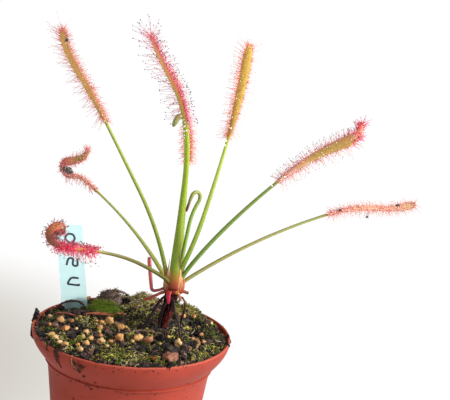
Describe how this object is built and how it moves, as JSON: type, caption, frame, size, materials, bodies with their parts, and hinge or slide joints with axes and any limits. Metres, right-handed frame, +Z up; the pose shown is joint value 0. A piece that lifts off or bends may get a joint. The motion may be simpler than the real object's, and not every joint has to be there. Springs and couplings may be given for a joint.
{
  "type": "potted sundew",
  "caption": "Carnivorous sundew: a rosette of slender leaves tipped with sticky tentacles on a short bare stem, growing in moss and grit in a small round plastic pot with a blank label.",
  "frame": {"origin": "centre of the pot's underside", "axes": "+Z up out of the pot; +X to the right of the side the plant is shown from; +Y away from that side, towards the label's back"},
  "size_m": [0.1683, 0.0955, 0.2205],
  "materials": {
    "pot_plastic": "satin",
    "potting_mix": "matte",
    "moss": "matte",
    "grit": "matte",
    "label_plastic": "satin",
    "stem_bark": "matte",
    "crown": "satin",
    "leaf": "satin",
    "young_growth": "satin",
    "dry_leaf": "matte",
    "red_stalk": "satin",
    "insect": "satin"
  },
  "bodies": {
    "root": {"pot": "pot_plastic", "potting_mix": "potting_mix", "label": "label_plastic", "stem": "stem_bark", "crown": "crown", "leaf_upper_left": "leaf", "leaf_coiled_left": "leaf", "leaf_hooked_left": "leaf", "leaf_top_centre": "leaf", "leaf_back_centre": "leaf", "leaf_top_right": "leaf", "leaf_upper_right": "leaf", "leaf_lower_right": "leaf", "young_leaf": "young_growth", "flower_shoot": "young_growth", "cut_stalk_left": "red_stalk", "red_stipule": "red_stalk", "dry_stub_left": "dry_leaf", "dry_stub_right": "dry_leaf", "dry_stub_front": "dry_leaf", "dead_leaf_left": "dry_leaf", "dead_leaf_front": "dry_leaf", "dead_leaf_right": "dry_leaf", "aerial_root": "dry_leaf", "dry_leaf_arched": "dry_leaf", "dry_strip_left": "dry_leaf", "dry_strip_middle": "dry_leaf", "twig_front": "dry_leaf", "bark_lump": "dry_leaf", "moss_cushion_left": "moss", "moss_cushion_dark": "moss", "moss_cushion_back": "moss", "moss_cushion_right": "moss", "moss_patch_side": "moss", "moss_patch_front": "moss", "grit_01": "grit", "grit_02": "grit", "grit_03": "grit", "grit_04": "grit", "grit_05": "grit", "grit_06": "grit", "grit_07": "grit", "grit_08": "grit", "grit_09": "grit", "grit_10": "grit", "grit_11": "grit", "grit_12": "grit", "gnat_1": "insect", "gnat_2": "insect", "gnat_3": "insect", "gnat_4": "insect", "gnat_5": "insect"}
  },
  "joints": []
}
